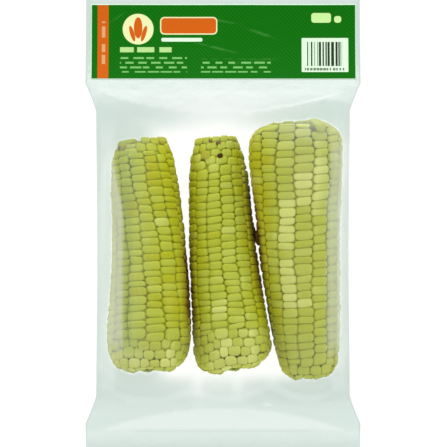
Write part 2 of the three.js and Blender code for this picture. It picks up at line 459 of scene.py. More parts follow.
@dataclass(frozen=True)
class Field:
    """A rectangle of the print, by its left, right, lower and upper edges."""

    left: float
    right: float
    low: float
    high: float

    def grown(self, by: float) -> "Field":
        """The field with each edge moved outwards."""
        return Field(self.left - by, self.right + by, self.low - by, self.high + by)

    def mask(self, x: Wire, y: Wire, corner: float = 0.0, soft: float = 0.12) -> Wire:
        """How much of a point is inside the field.

        Args:
            x: The point's X.
            y: The point's Y.
            corner: The radius of the field's corners.
            soft: Half the width over which the ink's edge fades.

        Returns:
            A value from 0 outside to 1 inside.
        """
        middle_x, middle_y = (self.left + self.right) / 2, (self.low + self.high) / 2
        reach_x, reach_y = (self.right - self.left) / 2 - corner, (self.high - self.low) / 2 - corner
        out_x = (x - middle_x).size() - reach_x
        out_y = (y - middle_y).size() - reach_y
        if corner == 0.0:
            return 1.0 - out_x.most(out_y).rise(-soft, soft)
        beyond = (out_x.most(0.0) ** 2.0 + out_y.most(0.0) ** 2.0) ** 0.5
        return 1.0 - (beyond - corner).rise(-soft, soft)


@dataclass(frozen=True)
class Crease:
    """A soft line in the header that catches the light."""

    middle: tuple[float, float]
    angle: float
    reach: tuple[float, float]
    strength: float

    def mask(self, x: Wire, y: Wire) -> Wire:
        """How bright the crease is at a point."""
        turn = np.radians(self.angle)
        dx, dy = x - self.middle[0], y - self.middle[1]
        along = (dx * float(np.cos(turn)) + dy * float(np.sin(turn))) / self.reach[0]
        across = (dy * float(np.cos(turn)) - dx * float(np.sin(turn))) / self.reach[1]
        return (1.0 - (along**2.0 + across**2.0) ** 0.5).rise(0.0, 1.0) * self.strength


@dataclass(frozen=True)
class PrintFinish:
    """The header's print: a green panel with an orange stripe, plain fields and dashes."""

    panel: Field = Field(-77.0, 77.6, 85.0, 129.2)
    outline: float = 0.5
    stripe: Field = Field(-73.1, -66.7, 80.0, 130.0)
    banner: Field = Field(-36.0, -4.0, 112.0, 121.0)
    banner_rim: float = 0.7
    underline: Field = Field(-36.0, -12.0, 107.2, 109.4)
    roundel: tuple[float, float, float] = (-49.5, 114.5, 9.0)
    weight: Field = Field(51.5, 63.0, 118.3, 124.0)
    unit: Field = Field(64.8, 69.0, 118.3, 122.2)
    code: Field = Field(45.8, 73.0, 89.3, 109.3)
    code_bars: Field = Field(49.0, 69.8, 92.8, 107.0)
    code_dashes: Field = Field(47.6, 71.2, 90.2, 91.7)
    title: Field = Field(-60.0, -27.0, 100.9, 103.9)
    columns: tuple[Field, ...] = (Field(-60.0, -21.0, 89.0, 99.6), Field(-12.8, 27.8, 89.0, 97.0))
    stripe_marks: Field = Field(-70.6, -68.6, 94.0, 119.0)
    line_pitch: float = 2.75
    bar_width: float = 0.42
    hatch_turns: float = 2.6
    hatch_strength: float = 0.1
    creases: tuple[Crease, ...] = (
        Crease((1.0, 119.0), -10.0, (13.0, 1.0), 0.5),
        Crease((22.0, 112.0), -19.0, (14.0, 1.4), 0.4),
        Crease((-4.0, 103.5), -14.0, (18.0, 1.1), 0.4),
        Crease((18.0, 95.5), 6.0, (20.0, 2.2), 0.22),
        Crease((71.0, 91.5), 12.0, (9.0, 0.8), 0.35),
        Crease((-62.0, 121.0), 35.0, (9.0, 1.0), 0.2),
    )
    green: Colour = (0.0012, 0.140, 0.0006)
    lit_green: Colour = (0.09, 0.33, 0.07)
    orange: Colour = (0.62, 0.118, 0.008)
    mint: Colour = (0.64, 0.90, 0.66)
    cream: Colour = (0.80, 0.84, 0.44)
    lime: Colour = (0.58, 0.86, 0.34)
    fine: Colour = (0.20, 0.52, 0.15)
    white: Colour = (0.72, 0.90, 0.69)
    bar: Colour = (0.02, 0.045, 0.02)

    def dashes(self, shader: Shader, across: Wire, line: Wire, pitch: float) -> Wire:
        """Word-long dashes along a line of print.

        Args:
            shader: The shader that the dashes are in.
            across: The distance along the line.
            line: The line's number.
            pitch: The longest dash and its gap together.

        Returns:
            A value from 0 in the gaps to 1 on the dashes.
        """
        cell = (across / pitch + line * 0.37).whole()
        within = across / pitch + line * 0.37 - cell
        length = 0.45 + 0.45 * shader.draw(cell + line * 31.0)
        return (length - within).rise(-0.03, 0.03)

    def lines(self, shader: Shader, x: Wire, y: Wire) -> Wire:
        """The small print: lines of dashes in two columns."""
        line = (y / self.line_pitch).whole()
        height = y / self.line_pitch - line
        band = height.rise(0.22, 0.3) * (1.0 - height.rise(0.62, 0.7))
        inside = self.columns[0].mask(x, y).most(self.columns[1].mask(x, y))
        return inside * band * self.dashes(shader, x, line, 7.5)

    def ear_sign(self, x: Wire, y: Wire) -> tuple[Wire, Wire]:
        """A roundel with a plain ear of corn in it.

        Args:
            x: The point's X.
            y: The point's Y.

        Returns:
            The disc's mask and the mask of the ear and its two leaves.
        """
        middle_x, middle_y, radius = self.roundel
        dx, dy = x - middle_x, y - middle_y
        disc = 1.0 - ((dx**2.0 + dy**2.0) ** 0.5 - radius).rise(-0.12, 0.12)
        ear = 1.0 - ((dx / 2.5) ** 2.0 + ((dy - 0.8) / 6.2) ** 2.0).rise(0.94, 1.06)
        side = dx.size() - 2.2
        leaf = 1.0 - (((side - (dy + 7.0) * 0.28) / 1.3) ** 2.0 + ((dy + 2.6) / 4.6) ** 2.0).rise(0.9, 1.1)
        return disc, ear.most(leaf)

    def build(self) -> bpy.types.Material:
        """Makes the material."""
        shader = Shader("header_ink")
        x, y, _ = shader.place()
        creases = self.creases[0].mask(x, y)
        for crease in self.creases[1:]:
            creases = creases.most(crease.mask(x, y))
        streak = shader.noise(shader.vector(x * 0.5, y * 1.4, 0.0), 0.22, 3.0)
        creases = creases * streak.rise(0.3, 0.6)
        hatch = shader.math("SINE", (x + y) * self.hatch_turns) * 0.5 + 0.5
        green = shader.mix(self.green, self.lit_green, creases + hatch * self.hatch_strength)
        ink = shader.mix(green, self.orange, self.stripe.mask(x, y))
        marks = self.stripe_marks.mask(x, y) * self.dashes(shader, y, x * 0.0 + 3.0, 8.5)
        ink = shader.mix(ink, self.cream, marks * 0.35)
        disc, ear = self.ear_sign(x, y)
        ink = shader.mix(ink, self.cream, disc)
        ink = shader.mix(ink, self.orange, ear)
        ink = shader.mix(ink, self.cream, self.banner.grown(self.banner_rim).mask(x, y, corner=2.6))
        ink = shader.mix(ink, self.orange, self.banner.mask(x, y, corner=2.0))
        ink = shader.mix(ink, self.white, self.underline.mask(x, y, corner=1.0))
        weight = self.weight.mask(x, y, corner=1.6).most(self.unit.mask(x, y, corner=1.6))
        ink = shader.mix(ink, self.lime, weight)
        title = self.title.mask(x, y) * self.dashes(shader, x, x * 0.0 + 5.0, 13.0)
        ink = shader.mix(ink, self.lime, title * 0.8)
        ink = shader.mix(ink, self.fine, self.lines(shader, x, y))
        ink = shader.mix(ink, self.white, self.code.mask(x, y, corner=0.5))
        bars = shader.draw((x / self.bar_width).whole() + 57.0).rise(0.42, 0.5)
        bars = bars * self.code_bars.mask(x, y)
        ticks = self.dashes(shader, x, x * 0.0 + 9.0, 1.9) * self.code_dashes.mask(x, y)
        ink = shader.mix(ink, self.bar, bars.most(ticks * 0.8))
        ink = shader.mix(self.mint, ink, self.panel.grown(-self.outline).mask(x, y))
        surface = shader.skin(
            {
                "Base Color": ink,
                "Roughness": 0.4,
                "Specular IOR Level": 0.03,
                "Normal": shader.bump(creases, 0.4, 0.5),
            }
        )
        return shader.finish(surface)


@dataclass(frozen=True)
class TableFinish:
    """A white table that glows a little, so that the film reads as clear."""

    white: Colour = (0.16, 0.16, 0.16)
    glow: float = 0.95

    def build(self) -> bpy.types.Material:
        """Makes the material."""
        shader = Shader("pale_table")
        x, y, z = shader.place()
        grain = shader.noise(shader.vector(x, y, z), 0.02, 2.0)
        top = shader.skin(
            {
                "Base Color": self.white,
                "Roughness": 0.6 + 0.1 * grain,
                "Specular IOR Level": 0.1,
                "Emission Color": (1.0, 1.0, 1.0),
                "Emission Strength": self.glow,
            }
        )
        return shader.finish(top)


# ---------------------------------------------------------------- the pouch's form


@dataclass(frozen=True)
class PouchForm:
    """The pouch as it lies: its outline, and the surface in which its two plies meet."""

    length: float = 267.0
    width: float = 160.0
    body_width: float = 147.2
    waist: float = 0.8
    header_length: float = 51.0
    foot_length: float = 18.4
    shoulder_length: float = 17.0
    shoulder_curve: float = 1.25
    body_height: float = 20.0
    header_root: float = 12.0
    header_edge: float = 1.6
    foot_root: float = 9.0
    foot_edge: float = 1.4
    rise: float = 32.0
    wave: float = 0.6
    wavelength: float = 74.0
    header_seal: float = 79.2
    header_lens: float = 64.8
    foot_seal: float = -119.2
    foot_lens: float = -106.1
    lens_curve: float = 0.00255

    @property
    def header(self) -> float:
        """Y where the header's flat zone begins."""
        return self.length / 2 - self.header_length

    @property
    def foot(self) -> float:
        """Y where the foot's flat zone ends."""
        return self.foot_length - self.length / 2

    def half_width(self, y: np.ndarray) -> np.ndarray:
        """Half the pouch's width at each Y."""
        from_flat = np.clip(np.minimum(self.header - y, y - self.foot) / self.shoulder_length, 0, 1)
        drawn = 1 - (1 - from_flat) ** self.shoulder_curve
        along = np.clip((y - self.foot) / (self.header - self.foot), 0, 1)
        return blend(self.width, self.body_width, drawn) / 2 - self.waist * np.sin(np.pi * along) ** 2

    def meeting(self, x: np.ndarray, y: np.ndarray) -> np.ndarray:
        """Height of the surface in which the plies meet."""
        into_header = np.clip((y - self.header) / self.header_length, 0, 1)
        into_foot = np.clip((self.foot - y) / self.foot_length, 0, 1)
        wave = self.wave * into_header * np.sin(2 * np.pi * x / self.wavelength + 0.6)
        head = blend(self.header_edge, self.header_root, (1 - into_header) ** 2) + wave
        toe = blend(self.foot_edge, self.foot_root, (1 - into_foot) ** 1.5)
        from_head = np.sin(np.pi / 2 * np.clip((self.header - y) / self.rise, 0, 1))
        from_toe = np.sin(np.pi / 2 * np.clip((y - self.foot) / self.rise, 0, 1))
        body = np.minimum(
            blend(self.header_root, self.body_height, from_head),
            blend(self.foot_root, self.body_height, from_toe),
        )
        return np.where(y > self.header, head, np.where(y < self.foot, toe, body))

    def sealed(self, y: np.ndarray) -> np.ndarray:
        """True in the two straight seals."""
        return (y > self.header_seal) | (y < self.foot_seal)

    def pressed(self, x: np.ndarray, y: np.ndarray) -> np.ndarray:
        """True where the plies lie on each other: the seals, and the shallow lens beyond each."""
        curve = self.lens_curve * x**2
        return self.sealed(y) | (y > self.header_lens + curve) | (y < self.foot_lens - curve)


# ---------------------------------------------------------------- ears


@dataclass(frozen=True)
class KernelShape:
    """The rounded brick that every kernel starts from.

    Its base, in the cob and out of sight, is hollowed a little, and its rim is open at one end.
    """

    width: float = 8.2
    length: float = 4.6
    depth: float = 3.4
    corner: float = 1.3
    brow: float = 1.25
    rings: int = 4
    base_inset: float = 0.7
    base_rise: float = 0.2

    def model(self) -> tuple[np.ndarray, Faces]:
        """Models one kernel.

        Returns:
            Its points, with u and v from -1 to 1 across and along it and w from 0 at its root to 1
            at its crown, and its faces.
        """
        clear_selection()
        bpy.ops.mesh.primitive_cube_add(size=1.0)
        piece = bpy.context.object
        bpy.ops.object.mode_set(mode="EDIT")
        bpy.ops.mesh.select_all(action="SELECT")
        bpy.ops.transform.resize(value=(self.width, self.length, self.depth))
        mesh = bmesh.from_edit_mesh(piece.data)
        pick_only([e for e in mesh.edges if abs(e.verts[0].co.z - e.verts[1].co.z) > self.depth / 2])
        bpy.ops.mesh.bevel(offset=self.corner, segments=self.rings, affect="EDGES")
        mesh = bmesh.from_edit_mesh(piece.data)
        top = self.depth / 2 - 1e-4
        pick_only([e for e in mesh.edges if all(v.co.z > top for v in e.verts)])
        bpy.ops.mesh.bevel(offset=self.brow, segments=self.rings, affect="EDGES")
        mesh = bmesh.from_edit_mesh(piece.data)
        pick_only([max(mesh.faces, key=lambda f: f.calc_area())])
        bpy.ops.mesh.inset(thickness=self.base_inset)
        bpy.ops.transform.translate(value=(0, 0, self.base_rise))
        mesh = bmesh.from_edit_mesh(piece.data)
        centres = {face: face.calc_center_median() for face in mesh.faces}
        pick_only([min(mesh.faces, key=lambda f: (round(centres[f].z, 3), centres[f].x))])
        bpy.ops.mesh.delete(type="FACE")
        points, faces = take_mesh(piece)
        unit = points / np.array([self.width / 2, self.length / 2, self.depth])
        unit[:, 2] += 0.5
        return unit, faces


@dataclass(frozen=True)
class RowTurn:
    """How far an ear's rows are turned about its axis, in degrees, and how soon they turn."""

    tip: float
    butt: float
    ease: float

    def at(self, share: np.ndarray) -> np.ndarray:
        """The turn in radians at each share of the length from the tip."""
        turned = 1 - np.clip(1 - share, 0, 1) ** self.ease
        return np.radians(blend(self.tip, self.butt, turned))


@dataclass(frozen=True)
class EarEnd:
    """How one end of an ear is finished."""

    round_reach: float
    cap_reach: float
    face: float
    rings: int
    ring_pitch: float = 5.6
    skew: float = 0.0
    lumps: float = 0.0

    def shove(self, inside: np.ndarray, side: np.ndarray, angle: np.ndarray) -> np.ndarray:
        """How far the end is pushed outwards along the axis.

        Args:
            inside: Distance from the end, along the axis.
            side: Distance from the axis towards +X.
            angle: Angle about the axis.

        Returns:
            The push, which fades away from the end.
        """
        lumps = self.lumps * np.sin(7 * angle + self.face) * ease(9.0, 0.0, inside)
        return lumps + self.skew * side * ease(30.0, 0.0, inside)

    def taper(self, inside: np.ndarray, upness: np.ndarray) -> np.ndarray:
        """How much of the full radius is left near the end.

        Args:
            inside: Distance from the end, along the axis.
            upness: 1 over the ear's crown and 0 at its sides, where the end is rounder.

        Returns:
            A share of the radius.
        """
        reach = blend(self.round_reach, self.cap_reach, ease(0.2, 0.9, upness))
        return np.sqrt(1 - np.clip(1 - inside / reach, 0, 1) ** 3)


@dataclass(frozen=True)
class Oddment:
    """One odd kernel, scrap of chaff, or kernel painted dark as painted shade where a hole or shadowed gap
    lies between kernels.

    Angles are degrees from the ear's crown towards +X, and distances are from the tip. One that stands
    alone takes the place of the kernels there.
    """

    angles: tuple[float, float]
    along: tuple[float, float]
    lift: float
    tone: float
    brown: float
    alone: bool = True


@dataclass(frozen=True)
class Shade:
    """A flank painted darker and browner as painted shade where it faces a neighbour ear, over a stretch of
    the ear's length.

    The side is 1 towards +X and -1 towards -X, and the stretch is in shares from the tip. The shade
    starts where a point faces its side by the reach, from 0 at the crown to 1 at the flank.
    """

    side: int
    start: float
    end: float
    depth: float
    reach: float = 0.84

    def at(self, sideness: np.ndarray, share: np.ndarray) -> np.ndarray:
        """How dark the flank is, from how far a point faces +X and its share of the length."""
        begun = ease(self.start - 0.1, self.start + 0.1, share)
        left = ease(self.end + 0.1, self.end - 0.1, share)
        return self.depth * begun * left * ease(self.reach, 1.0, self.side * sideness)


@dataclass(frozen=True)
class Patch:
    """A stretch of kernels that are creamier than the rest, or greener where the strength is negative.

    Its middle and reach are an angle in degrees from the crown towards +X, and a distance from the tip.
    """

    middle: tuple[float, float]
    reach: tuple[float, float]
    strength: float

    def at(self, angle: np.ndarray, along: np.ndarray) -> np.ndarray:
        """How much the patch adds to a kernel's tone."""
        around = (angle - self.middle[0]) / self.reach[0]
        away = (along - self.middle[1]) / self.reach[1]
        return self.strength * np.exp(-(around**2) - away**2)


@dataclass
class Slots:
    """The places of an ear's kernels, one entry in every list for each kernel."""

    left: list[float] = field(default_factory=list)
    right: list[float] = field(default_factory=list)
    low: list[float] = field(default_factory=list)
    high: list[float] = field(default_factory=list)
    loose: list[float] = field(default_factory=list)

    def add(self, left: float, right: float, low: float, high: float, loose: float) -> None:
        """Adds one place.

        Args:
            left: The row number at which it starts, which may be a fraction.
            right: The row number at which it ends.
            low: The arc length at which it starts.
            high: The arc length at which it ends.
            loose: 0 in a tidy row, 1 where kernels stand loosely.
        """
        self.left.append(left)
        self.right.append(right)
        self.low.append(low)
        self.high.append(high)
        self.loose.append(loose)

    def columns(self, keep: np.ndarray) -> tuple[np.ndarray, ...]:
        """The kept places as arrays of left, right, low, high and loose."""
        lists = (self.left, self.right, self.low, self.high, self.loose)
        return tuple(np.array(values)[keep] for values in lists)


@dataclass
class Ear:
    """One ear of corn: rows of kernels on a cob, lying on the table."""

    name: str
    tip: tuple[float, float]
    butt: tuple[float, float]
    tip_end: EarEnd
    butt_end: EarEnd
    turn: RowTurn
    radii: tuple[tuple[float, float], ...]
    seed: int
    spread: tuple[float, float] = (0.0, 0.0)
    shades: tuple[Shade, ...] = ()
    patches: tuple[Patch, ...] = ()
    bow: float = 0.0
    broad: float = 1.0
    browned: float = 0.3
    oddments: tuple[Oddment, ...] = ()
    rows: int = 14
    pitch: float = 4.65
    gap: float = -0.2
    depth: float = 3.2
    pillow: float = 0.5
    press: float = 0.9
    skin: float = 0.2
    ring_width: float = 6.6
    cob_sink: float = 1.8
    cob_inset: float = 1.2
    cob_sides: int = 56
    cob_rings: tuple[tuple[float, float], ...] = ((2.0, 0.35), (1.2, 0.15), (1.4, -0.3))
    rest_shares: tuple[float, float] = (0.16, 0.84)
    points: np.ndarray = field(default_factory=lambda: np.zeros((0, 3)))
    faces: Faces = field(default_factory=list)

    def __post_init__(self) -> None:
        """Works out the axis, the profile over the crown and how the ear lies."""
        tip, butt = np.array(self.tip), np.array(self.butt)
        self.length = float(np.linalg.norm(butt - tip))
        self.direction = (butt - tip) / self.length
        self.along = self.length * (1 - np.cos(np.linspace(0, np.pi, 1601))) / 2
        self.radius = self._skin(self.along, np.zeros(1))
        step = np.hypot(np.diff(self.along), np.diff(self.radius))
        self.arc = np.concatenate([[0.0], np.cumsum(step)])
        stations = np.array(self.rest_shares) * self.length
        rest = self._skin(stations, np.zeros(1)) - self.press
        self.slope = float((rest[1] - rest[0]) / (stations[1] - stations[0]))
        self.root_height = float(rest[0] - self.slope * stations[0])
        forward = np.array([*self.direction, self.slope])
        forward /= np.linalg.norm(forward)
        across = np.cross(forward, (0, 0, 1))
        across /= np.linalg.norm(across)
        self.basis = np.array([across, forward, np.cross(across, forward)])
        self.draws = np.random.default_rng(self.seed)

    def _skin(self, along: np.ndarray, angle: np.ndarray) -> np.ndarray:
        """Radius over the kernels at a distance from the tip, towards an angle about the axis."""
        shares = np.array([s for s, _ in self.radii])
        sizes = np.array([r for _, r in self.radii])
        count = len(self.radii)
        steps = np.linspace(0, count - 1, 121)
        left = np.minimum(steps.astype(int), count - 2)
        t = steps - left
        picks = [np.clip(left + k, 0, count - 1) for k in (-1, 0, 1, 2)]

        def through(values: np.ndarray) -> np.ndarray:
            """A Catmull-Rom curve through the stations."""
            a, b, c, d = (values[p] for p in picks)
            start, end = (c - a) / 2, (d - b) / 2
            cubic = (2 * b - 2 * c + start + end) * t**3
            return cubic + (3 * c - 3 * b - 2 * start - end) * t**2 + start * t + b

        radius = np.interp(along / self.length, through(shares), through(sizes))
        upness = np.cos(angle)
        radius = radius * self.tip_end.taper(along, upness)
        return radius * self.butt_end.taper(self.length - along, upness)

    def _stand(self, arc: np.ndarray, angle: np.ndarray) -> tuple[np.ndarray, ...]:
        """Where a point stands on the skin.

        Args:
            arc: Arc length over the crown, from the tip.
            angle: Angle about the axis.

        Returns:
            The distance from the tip, the radius, and the outward normal's two parts.
        """
        along = np.interp(arc, self.arc, self.along)
        reach = 0.5
        behind = np.clip(along - reach, 0, self.length)
        ahead = np.clip(along + reach, 0, self.length)
        climb = self._skin(ahead, angle) - self._skin(behind, angle)
        run = ahead - behind
        size = np.hypot(run, climb)
        return along, self._skin(along, angle), -climb / size, run / size

    def _to_pack(self, angle: np.ndarray, along: np.ndarray, radius: np.ndarray) -> np.ndarray:
        """Places points given about the axis in the pack's frame."""
        bow = self.bow * self.rightness * np.sin(np.pi * np.clip(along / self.length, 0, 1)) ** 2
        side = self.broad * radius * np.sin(angle) + bow
        along = along - self.tip_end.shove(along, self.rightness * side, angle)
        along = along + self.butt_end.shove(self.length - along, self.rightness * side, angle)
        local = np.stack([side, along, radius * np.cos(angle)], axis=-1)
        origin = np.array([*self.tip, self.root_height])
        return local @ self.basis + origin

    def _row_edge(self, number: np.ndarray, along: np.ndarray) -> np.ndarray:
        """The angle of the groove before a row, at a distance from the tip."""
        share = np.clip(along / self.length, 0, 1)
        phase = 2.4 * (number % self.rows) + self.seed
        wobble = 0.028 * np.sin(along / 8.0 + phase) + 0.016 * np.sin(along / 3.7 + 2.1 * phase)
        angle = number * 2 * np.pi / self.rows + self.turn.at(share) + wobble
        return angle + blend(self.spread[0], self.spread[1], share) * np.sin(angle)

    @property
    def rightness(self) -> float:
        """1 where angles about the axis run towards +X, and -1 where they run towards -X."""
        return float(np.sign(self.basis[0, 0]))

    def _middles(self, left: Any, right: Any, low: Any, high: Any) -> tuple[np.ndarray, np.ndarray]:
        """Where the middles of kernels are.

        Args:
            left: The row numbers at which they start.
            right: The row numbers at which they end.
            low: The arc lengths at which they start.
            high: The arc lengths at which they end.

        Returns:
            Degrees from the crown towards +X, and distances from the tip.
        """
        along = np.interp((low + high) / 2, self.arc, self.along)
        angle = self._row_edge((left + right) / 2, along)
        return np.degrees(np.arctan2(np.sin(angle), np.cos(angle))) * self.rightness, along

    def _span(self) -> tuple[float, float]:
        """Arc lengths at which the kernels start and end."""
        start = self.arc[np.argmax(self.radius >= self.tip_end.face)]
        end = self.arc[len(self.radius) - 1 - np.argmax(self.radius[::-1] >= self.butt_end.face)]
        return float(start), float(end)

    def _sway(self, number: Any) -> Any:
        """How far the meeting of rings and rows strays along the ear, at a row number."""
        turn = 2 * np.pi * number / self.rows
        return 1.5 * np.sin(2 * turn + self.seed) + 1.1 * np.sin(5 * turn + 2 * self.seed)

    def _lay_rings(self, slots: Slots, end: EarEnd, start: float, way: int) -> float:
        """Lays the loose rings of kernels at one end.

        Args:
            slots: Where the places are added.
            end: The end.
            start: The arc length at which the first ring starts.
            way: 1 from the tip inwards, -1 from the butt inwards.

        Returns:
            The arc length at which the rows may start.
        """
        draw = self.draws
        inwards = way * end.ring_pitch
        radius = np.interp(start + inwards * end.rings / 2, self.arc, self.radius)
        count = max(6, round(2 * np.pi * radius / self.ring_width))
        turn = draw.random()
        for ring in range(end.rings):
            near = start + ring * inwards
            edges = np.arange(count) + turn + 0.5 * ring + 0.08 * draw.standard_normal(count)
            edges = edges / count * self.rows
            edges = np.append(edges, edges[0] + self.rows)
            for left, right in zip(edges[:-1], edges[1:], strict=True):
                sway = self._sway((left + right) / 2) / end.rings
                low, high = sorted((near + ring * sway, near + inwards + (ring + 1) * sway))
                slip = draw.uniform(-0.6, 0.6)
                slots.add(left, right, low + slip, high + slip, 1.0)
        return start + end.rings * inwards

    def _lay_rows(self, slots: Slots, first: float, last: float) -> None:
        """Divides each row into kernels between two arc lengths."""
        count = round((last - first) / self.pitch)
        for row in range(self.rows):
            sway = self._sway(row + 0.5)
            start = first + sway * (self.tip_end.rings > 0)
            end = last + sway * (self.butt_end.rings > 0)
            shift = 0.5 * (row % 2) + 0.12 * self.draws.standard_normal()
            marks = np.arange(-1, count + 2) + shift
            marks = marks + 0.085 * self.draws.standard_normal(len(marks))
            marks = marks[(marks > 0.5) & (marks < count - 0.5)]
            marks = np.array([-0.05, *marks, count + 0.05])
            arcs = start + marks / count * (end - start)
            for low, high in zip(arcs[:-1], arcs[1:], strict=True):
                slots.add(row, row + 1, low, high, 0.0)

    def _lay_kernels(self) -> tuple[tuple[np.ndarray, ...], int]:
        """Lays out the whole ear.

        Returns:
            The places as arrays, with the oddments last, and the number of ordinary kernels.
        """
        start, end = self._span()
        slots = Slots()
        first = self._lay_rings(slots, self.tip_end, start, 1)
        last = self._lay_rings(slots, self.butt_end, end, -1)
        self._lay_rows(slots, first, last)
        left, right, low, high, _ = slots.columns(np.full(len(slots.left), True))
        towards_x, along = self._middles(left, right, low, high)
        keep = np.full(len(left), True)
        for odd in filter(lambda odd: odd.alone, self.oddments):
            in_angle = (towards_x > odd.angles[0]) & (towards_x < odd.angles[1])
            keep &= ~(in_angle & (along > odd.along[0]) & (along < odd.along[1]))
        ordinary = int(keep.sum())
        for odd in self.oddments:
            low_arc, high_arc = np.interp(odd.along, self.along, self.arc)
            turn = self.turn.at(np.array(sum(odd.along) / 2 / self.length))
            sides = np.sort(self.rightness * np.radians(np.array(odd.angles)))
            left_number, right_number = (sides - turn) * self.rows / (2 * np.pi)
            slots.add(left_number, right_number, low_arc, high_arc, 0.6)
        keep = np.append(keep, np.full(len(self.oddments), True))
        return slots.columns(keep), ordinary

    def grow_kernels(
        self, kernel: tuple[np.ndarray, Faces], finish: bpy.types.Material
    ) -> bpy.types.Object:
        """Copies the modelled kernel into every place.

        Args:
            kernel: The points and faces that each copy starts from.
            finish: The kernels' material.

        Returns:
            All the ear's kernels as one piece.
        """
        unit, unit_faces = kernel
        (first, last, low, high, loose), ordinary = self._lay_kernels()
        count = len(first)
        draw = self.draws.standard_normal
        lift = -0.3 + 0.14 * draw(count).clip(-2, 1.2) - 0.5 * loose * self.draws.random(count)
        towards_x, distance = self._middles(first, last, low, high)
        patchiness = sum(patch.at(towards_x, distance) for patch in self.patches)
        tone = 0.45 + 0.1 * draw(count) + patchiness
        brown = (self.draws.random(count) < self.browned * loose) * 0.5 * self.draws.random(count)
        brown = brown * (high < self.arc[-1] / 2)
        # Dark oddments take high brown values, which paint them with the shadow colour as painted shade.
        for k, odd in enumerate(self.oddments):
            lift[ordinary + k], tone[ordinary + k], brown[ordinary + k] = odd.lift, odd.tone, odd.brown
        tilt_u, tilt_v, slant = 0.12 * draw(count), 0.12 * draw(count), 0.22 * draw(count)
        dimple = np.where(self.draws.random(count) < 0.25, 0.2 * self.draws.random(count), 0.0)
        squeeze = np.clip(1 - np.abs(0.03 * draw(count)), 0.88, 1)
        roundness = np.clip(0.85 + 0.15 * loose + 0.15 * draw(count), 0.4, 1.0)
        swell_u, swell_v = 1.05 + 0.03 * loose, 1.05 + 0.2 * loose

        u, v, w = (unit[None, :, k] for k in range(3))
        k = roundness[:, None]
        round_u = u * np.sqrt(1 - k * v**2 / 2) * squeeze[:, None]
        round_v = v * np.sqrt(1 - k * blend(0.25, 1.0, loose)[:, None] * u**2 / 2)
        half = swell_v[:, None] * (high - low)[:, None] / 2 - self.gap / 2
        arc = (low + high)[:, None] / 2 + round_v * half + slant[:, None] * round_u
        along = np.interp(arc, self.arc, self.along)
        left = self._row_edge(first[:, None], along)
        right = self._row_edge(last[:, None], along)
        room = (right - left) / 2 - self.gap / 2 / np.maximum(self._skin(along, left), 4)
        angle = (left + right) / 2 + round_u * room * swell_u[:, None]
        along, radius, normal_along, normal_out = self._stand(arc, angle)
        height = lift[:, None] + (w - 1) * self.depth
        height = height + w * (tilt_u[:, None] * u + tilt_v[:, None] * v - self.pillow * (u**2 + v**2) / 2)
        height = height - w * dimple[:, None] * np.exp(-(u**2 + v**2) / 0.25)
        placed = self._to_pack(angle, along + height * normal_along, radius + height * normal_out)
        placed[..., 2] = np.maximum(placed[..., 2], 2 * self.skin)

        size = len(unit)
        self.points = placed.reshape(-1, 3)
        self.faces = [tuple(c * size + i for i in face) for c in range(count) for face in unit_faces]
        piece = make_mesh(f"{self.name}_kernels", self.points, self.faces)
        sideness = np.sin(angle) * self.rightness
        # Painted shade on the flanks that face a neighbour ear, carried in the brown channel.
        shades = (shade.at(sideness, along / self.length) for shade in self.shades)
        shaded = sum(shades, np.zeros_like(angle))
        channels = np.stack(
            [
                # Painted shade: kernels on the ear's flanks are painted deeper where the ear turns away from
                # the light.
                np.clip(tone[:, None] - 0.5 * ease(0.45, 0.9, np.abs(sideness)), 0, 1),
                np.repeat(w, count, axis=0),
                np.clip(brown[:, None] + shaded, 0, 1),
            ],
            axis=-1,
        )
        paint_points(piece, "kernel", channels.reshape(-1, 3))
        hand_over(piece, Slot.CORN_AND_FILM, finish, "sealed_pouch")
        return piece

    def model_cob(self, finish: bpy.types.Material) -> bpy.types.Object:
        """Models the cob under the kernels, with its two cut ends.

        Args:
            finish: The cob's material.

        Returns:
            The cob.
        """
        start, end = self._span()
        start, end = start + self.cob_inset, end - self.cob_inset
        arcs = np.concatenate([[start], np.linspace(start + 6.0, end - 12.0, 18), [end - 6.0, end]])
        along, radius, normal_along, normal_out = self._stand(arcs, np.full(len(arcs), np.pi / 2))
        along = along - 1.4 * self.cob_sink * normal_along
        radius = np.maximum(radius - self.cob_sink * np.maximum(normal_out, 0.5), 4.0)
        clear_selection()
        bpy.ops.mesh.primitive_circle_add(vertices=self.cob_sides, radius=radius[0], fill_type="NGON")
        piece = bpy.context.object
        bpy.ops.object.mode_set(mode="EDIT")
        bpy.ops.mesh.select_all(action="SELECT")
        bpy.ops.transform.translate(value=(0, 0, along[0]))
        for k in range(1, len(along)):
            bpy.ops.mesh.extrude_region_move(
                TRANSFORM_OT_translate={"value": (0, 0, along[k] - along[k - 1])}
            )
            ratio = radius[k] / radius[k - 1]
            bpy.ops.transform.resize(value=(ratio, ratio, 1))
        bpy.ops.mesh.select_all(action="SELECT")
        bpy.ops.mesh.normals_make_consistent(inside=False)
        for cut, way in ((along[0], 1.0), (along[-1], -1.0)):
            mesh = bmesh.from_edit_mesh(piece.data)
            pick_only([min(mesh.faces, key=lambda f: abs(f.calc_center_median().z - cut) - len(f.verts))])
            for inset, push in self.cob_rings:
                bpy.ops.mesh.inset(thickness=inset)
                bpy.ops.transform.translate(value=(0, 0, way * push))
        points, faces = take_mesh(piece)
        angle = np.arctan2(-points[:, 0], points[:, 1])
        reach = np.hypot(points[:, 0], points[:, 1])
        rough = 0.25 * np.sin(7 * angle + points[:, 2]) * np.sin(0.9 * points[:, 2] + 3 * angle)
        placed = self._to_pack(angle, points[:, 2], reach + rough)
        placed[:, 2] = np.maximum(placed[:, 2], 3 * self.skin)
        cob = make_mesh(f"{self.name}_cob", placed, faces)
        end_radius = np.where(points[:, 2] < self.length / 2, radius[0], radius[-1])
        inward = np.clip(1 - reach / end_radius, 0, 1)
